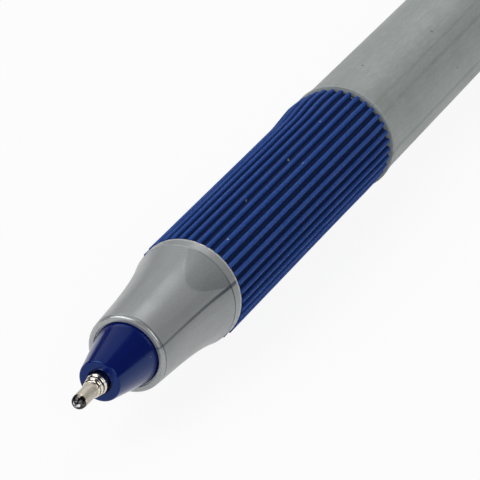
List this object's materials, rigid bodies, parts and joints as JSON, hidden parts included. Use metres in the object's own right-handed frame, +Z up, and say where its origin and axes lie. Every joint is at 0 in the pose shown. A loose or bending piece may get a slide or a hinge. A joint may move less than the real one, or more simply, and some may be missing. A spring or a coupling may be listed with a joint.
{
  "type": "ballpoint pen",
  "caption": "Capped stick ballpoint pen: needle point in a coloured nose cone, ribbed rubber grip, plain barrel, cap with pocket clip posted on the tail.",
  "frame": {"origin": "under the middle of the pen's box, on the surface that it lies on; the pen's axis is 6.025 mm above it and 1.02 mm to -X, because the clip reaches further out than the barrel", "axes": "+Y along the pen from the writing point to the cap's crown, +Z up, +X to the side that the pocket clip rests on"},
  "size_m": [0.0141, 0.1486, 0.012],
  "materials": {
    "ball_metal": "polished",
    "point_metal": "turned nickel silver",
    "tube_plastic": "clear, satin",
    "ink": "wet",
    "follower_grease": "wet",
    "blue_plastic": "moulded gloss",
    "silver_plastic": "metallic flake moulding",
    "grip_rubber": "matt, ribbed"
  },
  "bodies": {
    "pen": {"front_section": "silver_plastic", "grip_sleeve": "grip_rubber", "barrel": "silver_plastic", "tail_plug": "blue_plastic"},
    "refill": {"nose_cone": "blue_plastic", "point_socket": "point_metal", "ink_tube": "tube_plastic", "ink_column": "ink", "ink_follower": "follower_grease"},
    "ball": {"writing_ball": "ball_metal"},
    "cap": {"cap_shell": "blue_plastic"},
    "clip": {"pocket_clip": "blue_plastic"}
  },
  "joints": [
    {"name": "refill_draw", "type": "slide", "parent": "pen", "child": "refill", "axis": [0, -1, 0], "range_m": [0, 0.1]},
    {"name": "ball_roll", "type": "hinge", "parent": "refill", "child": "ball", "pos_m": [-0.00102, -0.07377, 0.00602], "axis": [1, 0, 0], "continuous": true},
    {"name": "cap_pull", "type": "slide", "parent": "pen", "child": "cap", "axis": [0, 1, 0], "range_m": [0, 0.04]},
    {"name": "clip_flex", "type": "hinge", "parent": "cap", "child": "clip", "pos_m": [0.00549, 0.07047, 0.00192], "axis": [0.5337, 0, 0.8457], "range_deg": [0, 3], "stiffness_Nm_per_rad": 0.4}
  ]
}
